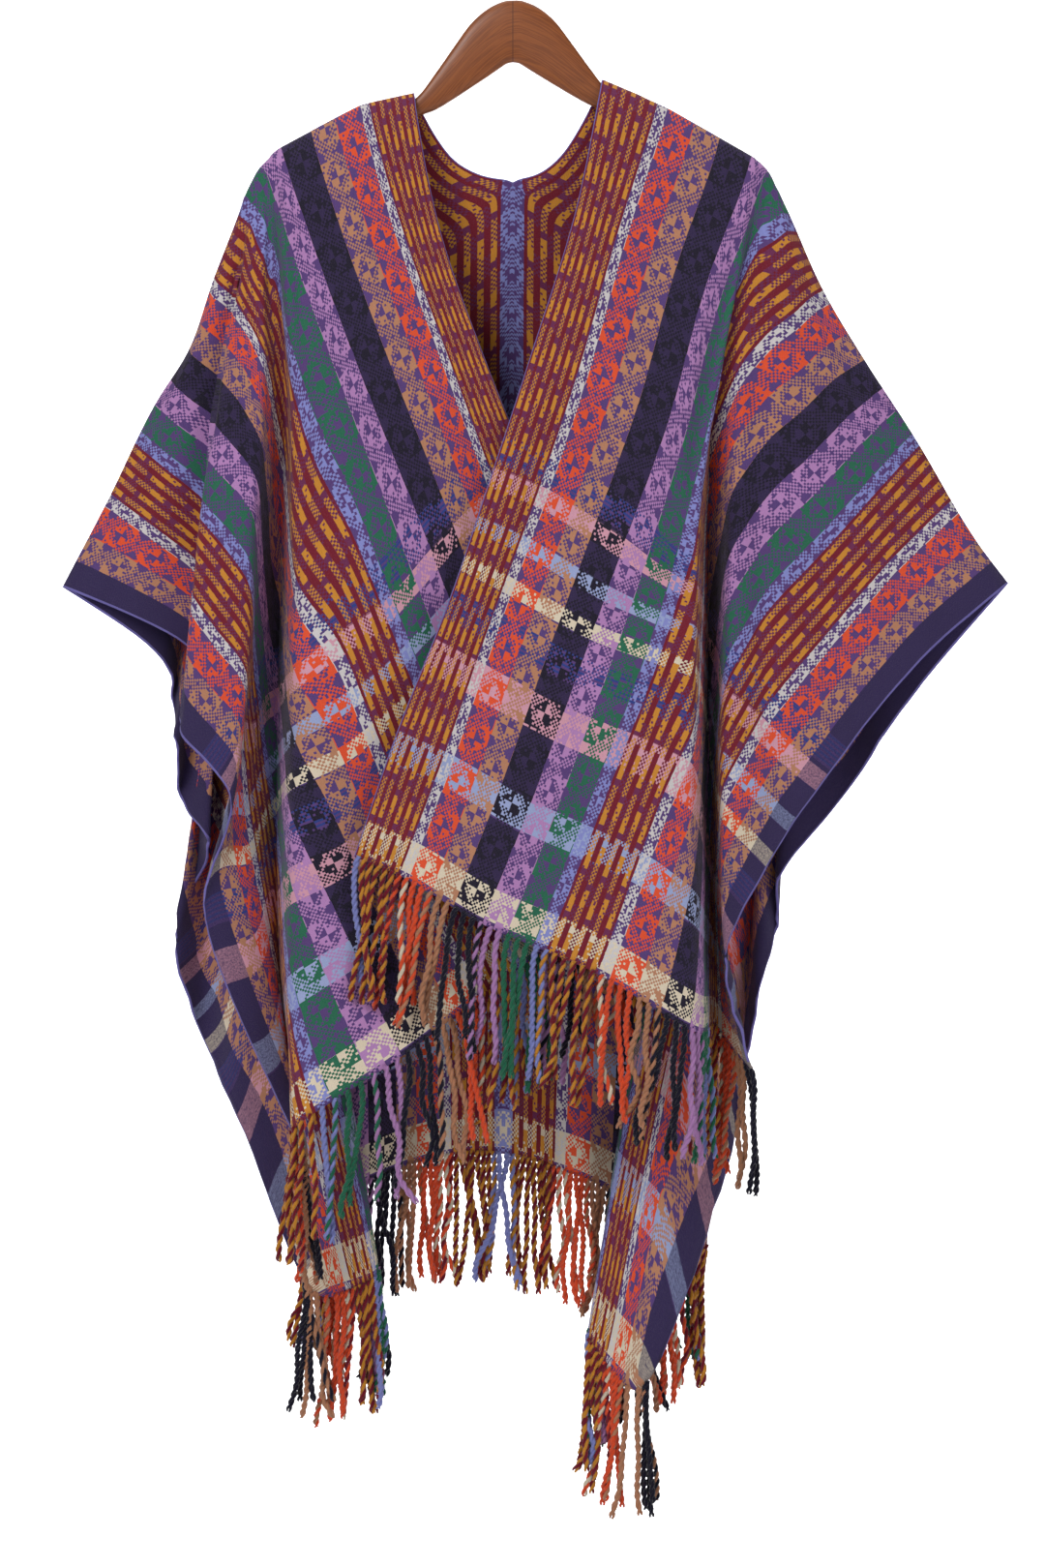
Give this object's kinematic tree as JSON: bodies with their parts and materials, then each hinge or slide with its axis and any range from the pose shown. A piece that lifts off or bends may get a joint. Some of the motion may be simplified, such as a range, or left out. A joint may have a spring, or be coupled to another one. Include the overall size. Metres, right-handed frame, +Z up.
{
  "type": "open-front poncho on a wooden hanger",
  "caption": "Open-front fringed blanket poncho, striped and banded, hung on a plain wooden hanger with its fronts crossed.",
  "frame": {"origin": "inside the top of the hanger's hook, where the rail carries it", "axes": "+Z up, +X to the right of someone facing the front, the front faces -Y"},
  "size_m": [0.8304, 0.189, 1.4223],
  "materials": {
    "poncho_cloth": "fulled woollen twill, striped lengthwise and banded across, soft nap, no shine",
    "fringe_yarn": "two-ply twisted woollen strands in the stripes' colours",
    "hanger_wood": "reddish brown varnish over fine straight grain",
    "hook_steel": "bright plated steel wire"
  },
  "bodies": {
    "root": {"front_left": "poncho_cloth", "front_right": "poncho_cloth", "back": "poncho_cloth", "fringe_front_left": "fringe_yarn", "fringe_front_right": "fringe_yarn", "fringe_back": "fringe_yarn", "hanger_wood": "hanger_wood", "hanger_hook": "hook_steel"}
  },
  "joints": []
}
